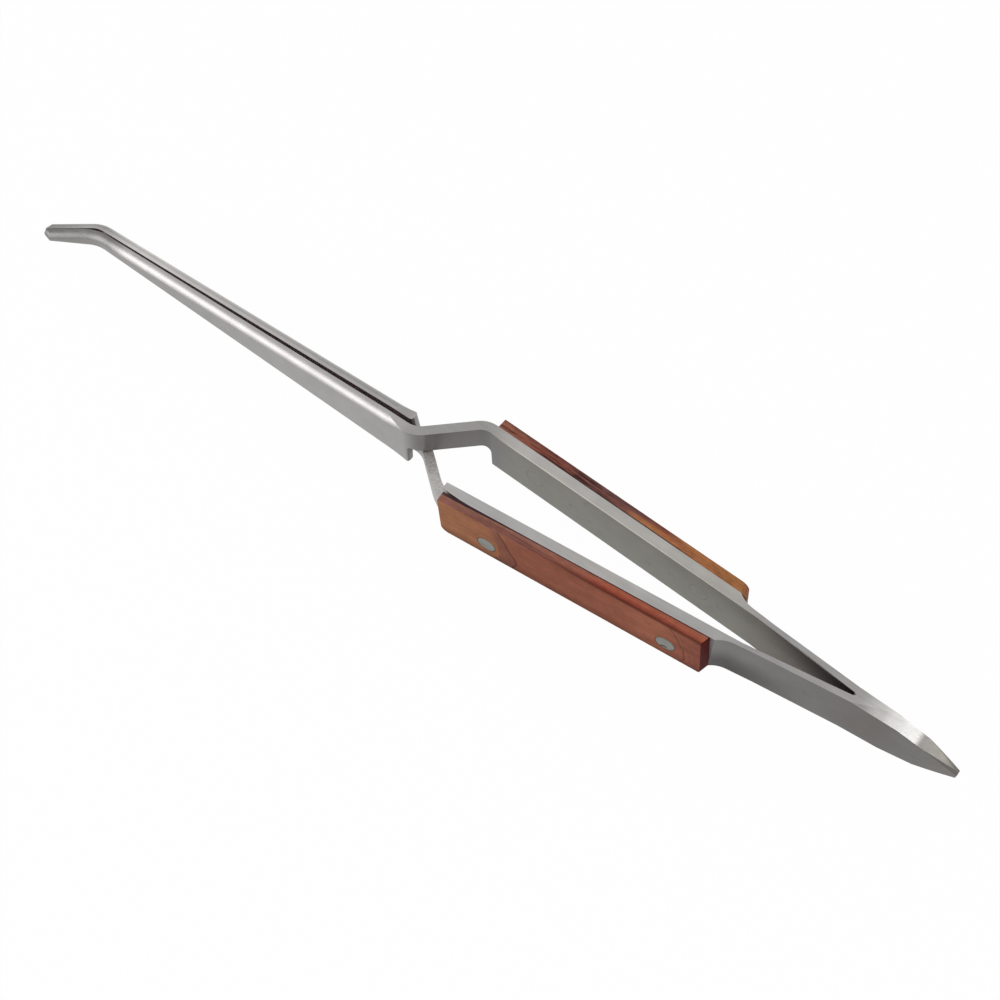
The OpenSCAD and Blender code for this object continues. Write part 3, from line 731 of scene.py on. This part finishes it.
stageLook = {
    "floorColor": (0.80, 0.80, 0.80, 1),
    "floorRoughness": 0.9,
    "floorSize": 3.0,        # metres
    "floorDrop": 0.03,       # millimetres under the tweezers
    "seenWhite": 0.98,       # share of plain white that camera and reflections see
    "worldStrength": 0.62,
}
lampLook = {
    "key": {"from": (-0.60, -0.60, 0.53), "distance": 0.75, "size": (0.85, 0.50), "radiance": 1.6},
    "tail": {"from": (0.45, -0.65, 0.55), "distance": 0.75, "size": (0.45, 0.40), "radiance": 2.2},
    "fill": {"from": (0.55, 0.35, 0.75), "distance": 0.9, "size": (0.6, 0.6), "radiance": 0.7},
}
cameraLook = {
    "place": (66.552, -68.870, 162.142),     # millimetres
    "elevation": 60.896, "turn": 39.556, "roll": -3.928,
    "lens": 44.845, "sensor": 36,
    "nearest": 10,                           # millimetres
}


def seenWhite(tree, share):
    # the part of the light paths that meet plain white: camera, reflections and glass
    path = addNode(tree, "ShaderNodeLightPath").outputs
    seen = calc(tree, "MAXIMUM", path["Is Camera Ray"], path["Is Glossy Ray"])
    seen = calc(tree, "MAXIMUM", seen, path["Is Transmission Ray"])
    return product(tree, seen, share)


def buildFloor():
    bpy.ops.mesh.primitive_plane_add(size=stageLook["floorSize"], location=(0, 0, 0))
    floor = bpy.context.object
    floor.name = "floor"
    for vertex in floor.data.vertices:
        vertex.co.z = -stageLook["floorDrop"] * mm
    material, tree, shader = startMaterial("paleFloor", stageLook["floorColor"])
    shader.inputs["Base Color"].default_value = stageLook["floorColor"]
    shader.inputs["Roughness"].default_value = stageLook["floorRoughness"]
    shader.inputs["Specular IOR Level"].default_value = 0.0
    glow = addNode(tree, "ShaderNodeEmission", {"Color": (1, 1, 1, 1), "Strength": 1.0})
    mix = addNode(
        tree, "ShaderNodeMixShader",
        {0: seenWhite(tree, stageLook["seenWhite"]), 1: shader.outputs[0], 2: glow.outputs[0]},
    )
    tree.links.new(mix.outputs[0], tree.nodes["Material Output"].inputs["Surface"])
    floor.data.materials.append(material)


def buildWorld():
    world = bpy.data.worlds.new("studio")
    bpy.context.scene.world = world
    world.use_nodes = True
    tree = world.node_tree
    path = addNode(tree, "ShaderNodeLightPath").outputs
    strength = fade(tree, path["Is Camera Ray"], 0.0, 1.0, stageLook["worldStrength"], 1.0)
    background = tree.nodes["Background"]
    background.inputs["Color"].default_value = (1, 1, 1, 1)
    tree.links.new(strength, background.inputs["Strength"])


def buildLamps():
    for name, look in lampLook.items():
        lamp = bpy.data.lights.new(name, "AREA")
        lamp.shape = "RECTANGLE"
        lamp.size, lamp.size_y = look["size"]
        lamp.energy = look["radiance"] * math.pi * look["size"][0] * look["size"][1]
        holder = bpy.data.objects.new(name, lamp)
        bpy.context.scene.collection.objects.link(holder)
        towards = Vector(look["from"]).normalized()
        holder.location = towards * look["distance"]
        holder.rotation_euler = towards.to_track_quat("Z", "Y").to_euler()


def buildCamera():
    camera = bpy.data.cameras.new("camera")
    camera.sensor_width = cameraLook["sensor"]
    camera.lens = cameraLook["lens"]
    camera.clip_start = cameraLook["nearest"] * mm
    holder = bpy.data.objects.new("camera", camera)
    bpy.context.scene.collection.objects.link(holder)
    fromUpright = math.radians(90 - cameraLook["elevation"])
    tilt = Euler((fromUpright, 0, math.radians(cameraLook["turn"]))).to_quaternion()
    roll = Euler((0, 0, math.radians(cameraLook["roll"]))).to_quaternion()
    holder.rotation_euler = (tilt @ roll).to_euler()
    holder.location = [v * mm for v in cameraLook["place"]]
    bpy.context.scene.camera = holder


buildFloor()
buildWorld()
buildLamps()
buildCamera()
bpy.context.scene.view_settings.view_transform = "Standard"
print("stage, lights and camera done")
